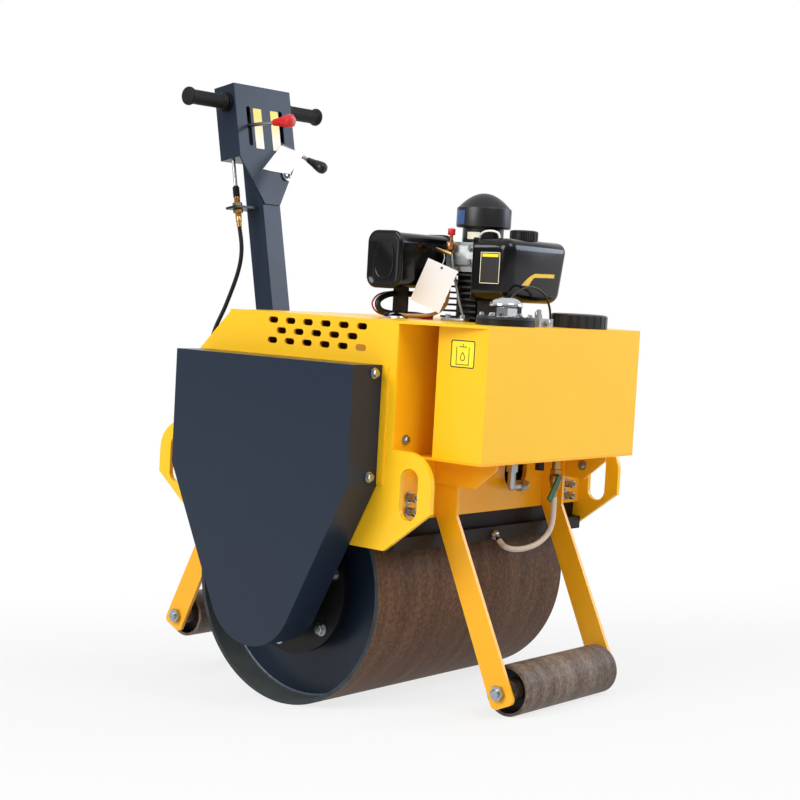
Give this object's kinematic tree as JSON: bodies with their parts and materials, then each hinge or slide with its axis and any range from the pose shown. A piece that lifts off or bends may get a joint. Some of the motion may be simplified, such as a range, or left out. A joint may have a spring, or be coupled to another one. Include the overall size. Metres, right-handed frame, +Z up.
{
  "type": "walk-behind road roller",
  "caption": "Walk-behind vibratory road roller with a wide steel drum, small guide rollers fore and aft, an upright engine on a deck, a front tank and a folding handle.",
  "frame": {"origin": "on the ground at the middle of the length and width", "axes": "+X forward, +Y to the operator's left, +Z up"},
  "size_m": [0.951, 0.8, 1.2666],
  "materials": {
    "yellow_paint": "gloss yellow coat on sheet steel and plate",
    "slate_paint": "blue-grey coat on sheet steel",
    "black_paint": "black coat on steel",
    "black_gloss": "gloss black coat on pressed steel",
    "rolled_steel": "rolled steel with thin rust and mill scale",
    "zinc_steel": "bright zinc-plated steel",
    "chrome": "polished chrome plate",
    "brass": "turned brass",
    "cast_aluminium": "sand-cast aluminium",
    "cast_iron": "dark cast iron",
    "black_plastic": "moulded black plastic",
    "rubber": "moulded black rubber",
    "hose_pvc": "cream soft plastic hose",
    "green_plastic": "green plastic dip on a steel lever",
    "red_plastic": "moulded red plastic",
    "scorched_steel": "heat-browned steel"
  },
  "bodies": {
    "chassis": {"side_plates": "yellow_paint", "cross_plates": "yellow_paint", "floor_plate": "yellow_paint", "hangers": "black_paint", "bearings": "black_paint", "hood_sides": "yellow_paint", "hood_ends": "yellow_paint", "deck": "yellow_paint", "cover_rails": "yellow_paint", "covers": "slate_paint", "tank": "yellow_paint", "tank_bracket": "yellow_paint", "water_cap": "black_plastic", "oil_flange": "black_paint", "oil_cap": "chrome", "breather": "zinc_steel", "tank_fittings": "zinc_steel", "water_tap": "brass", "tap_lever": "green_plastic", "water_hose": "hose_pvc", "scrapers": "black_paint", "legs": "yellow_paint", "roller_axles": "zinc_steel", "engine_block": "black_paint", "cylinder_barrel": "cast_iron", "cylinder_head": "cast_aluminium", "fan_housing": "black_paint", "muffler": "black_gloss", "exhaust": "scorched_steel", "air_cleaner": "black_plastic", "fuel_tank": "black_gloss", "fuel_cap": "black_plastic", "injector_pipe": "zinc_steel", "handle_bracket": "yellow_paint", "fold_pin": "zinc_steel"},
    "drum": {"drum_shell": "rolled_steel", "drum_bulkheads": "slate_paint", "drum_hubs": "black_paint"},
    "front_roller": {"front_roller": "rolled_steel"},
    "rear_roller": {"rear_roller": "rolled_steel"},
    "handle": {"column": "slate_paint", "control_box": "slate_paint", "handlebar": "zinc_steel", "grips": "rubber", "levers": "zinc_steel", "red_knob": "red_plastic", "black_knob": "black_plastic", "cable_fitting": "brass", "push_rod": "black_paint", "control_cable": "rubber"}
  },
  "joints": [
    {"name": "drum_spin", "type": "hinge", "parent": "chassis", "child": "drum", "pos_m": [0.013, 0, 0.233], "axis": [0, 1, 0], "continuous": true},
    {"name": "front_roller_spin", "type": "hinge", "parent": "chassis", "child": "front_roller", "pos_m": [0.42717, 0, 0.0475], "axis": [0, 1, 0], "continuous": true},
    {"name": "rear_roller_spin", "type": "hinge", "parent": "chassis", "child": "rear_roller", "pos_m": [-0.42745, 0, 0.12367], "axis": [0, 1, 0], "continuous": true},
    {"name": "handle_fold", "type": "hinge", "parent": "chassis", "child": "handle", "pos_m": [-0.27274, 0, 0.49641], "axis": [0, -1, 0], "range_deg": [0, 45], "deforming": ["control_cable"]}
  ]
}
